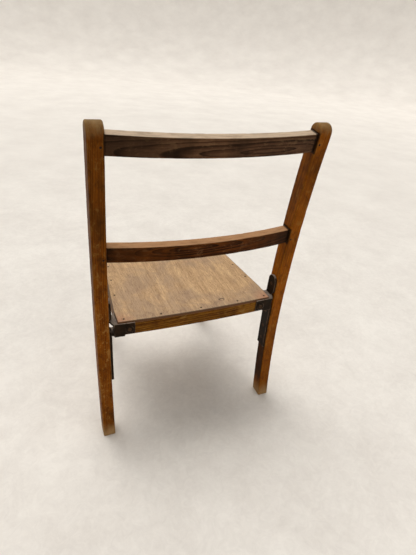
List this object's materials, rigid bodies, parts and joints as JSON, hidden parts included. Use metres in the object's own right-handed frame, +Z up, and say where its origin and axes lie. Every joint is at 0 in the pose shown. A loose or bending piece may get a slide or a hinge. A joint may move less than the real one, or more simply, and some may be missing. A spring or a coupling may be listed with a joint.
{
  "type": "school chair",
  "caption": "Small wooden school chair with bent back posts, bowed back rails, a plywood seat on a rail frame and iron corner brackets instead of stretchers.",
  "frame": {"origin": "floor level, under the middle of the chair's overall width and length", "axes": "+Z up; the sitter faces -Y; +X is the sitter's left"},
  "size_m": [0.4188, 0.396, 0.6755],
  "materials": {
    "post_wood": "worn varnished oak, golden brown",
    "rail_wood": "dark stained oak, satin",
    "frame_wood": "amber varnished oak",
    "seat_plywood": "worn birch plywood with grey stains",
    "bracket_iron": "dark, dull, rubbed on its edges",
    "nail_steel": "dark oxidised steel"
  },
  "bodies": {
    "root": {"post_left": "post_wood", "post_right": "post_wood", "top_rail": "rail_wood", "lower_rail": "rail_wood", "top_rail_pins": "nail_steel", "lower_rail_pins": "nail_steel", "seat_panel": "seat_plywood", "rear_seat_rail": "frame_wood", "front_seat_rail": "frame_wood", "side_seat_rail_left": "frame_wood", "side_seat_rail_right": "frame_wood", "front_leg_left": "post_wood", "front_leg_right": "post_wood", "rear_bracket_left": "bracket_iron", "rear_bracket_right": "bracket_iron", "front_bracket_left": "bracket_iron", "front_bracket_right": "bracket_iron", "seat_nails": "nail_steel", "post_screws": "nail_steel", "cup_screws": "nail_steel", "leg_screws": "nail_steel", "front_rail_screws": "nail_steel"}
  },
  "joints": []
}
